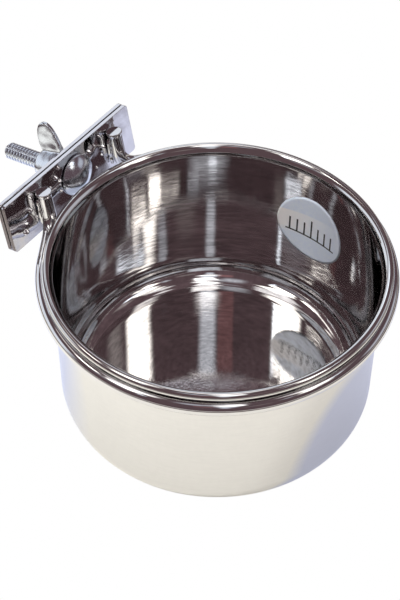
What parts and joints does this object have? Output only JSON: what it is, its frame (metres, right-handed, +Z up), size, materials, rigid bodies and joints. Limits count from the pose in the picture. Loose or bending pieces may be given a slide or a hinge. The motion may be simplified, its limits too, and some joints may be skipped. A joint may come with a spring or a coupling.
{
  "type": "bolt-on cage bowl",
  "caption": "Round polished steel feeding bowl hung in a bent wire ring, with two clamp plates, a carriage bolt and a wing nut that fix it to the bars of a cage or kennel.",
  "frame": {"origin": "on the bearing face of the plate that is welded to the ring, level with the bolt, halfway between the square hole and the plate's -X end", "axes": "+Z up along the cup's axis, +Y from the cup towards the clamp plates and the bars, +X along the plates"},
  "size_m": [0.0962, 0.1232, 0.0636],
  "materials": {
    "cup_steel": "mirror polished, with faint upright brush lines inside the wall",
    "label_film": "silver film",
    "wire_steel": "bright polished",
    "plate_steel": "bright polished",
    "bolt_steel": "bright plated",
    "nut_steel": "bright plated, slightly grained"
  },
  "bodies": {
    "holder": {"ring_wire": "wire_steel", "holder_plate": "plate_steel", "carriage_bolt": "bolt_steel"},
    "cup": {"cup": "cup_steel", "capacity_label": "label_film"},
    "clamp": {"clamp_plate": "plate_steel"},
    "nut": {"wing_nut": "nut_steel"}
  },
  "joints": [
    {"name": "cup_lift", "type": "slide", "parent": "holder", "child": "cup", "axis": [0, 0, 1], "range_m": [0, 0.065]},
    {"name": "clamp_slide", "type": "slide", "parent": "holder", "child": "clamp", "axis": [-0.0189, 0.9831, -0.1822], "range_m": [0, 0.012]},
    {"name": "nut_spin", "type": "hinge", "parent": "clamp", "child": "nut", "pos_m": [0.01516, 0.00216, -0.00035], "axis": [-0.0189, 0.9831, -0.1822], "range_deg": [0, 4080]}
  ],
  "couplings": [
    {"joint": "clamp_slide", "follows": "nut_spin", "m_per_rad": 0.00016844}
  ]
}
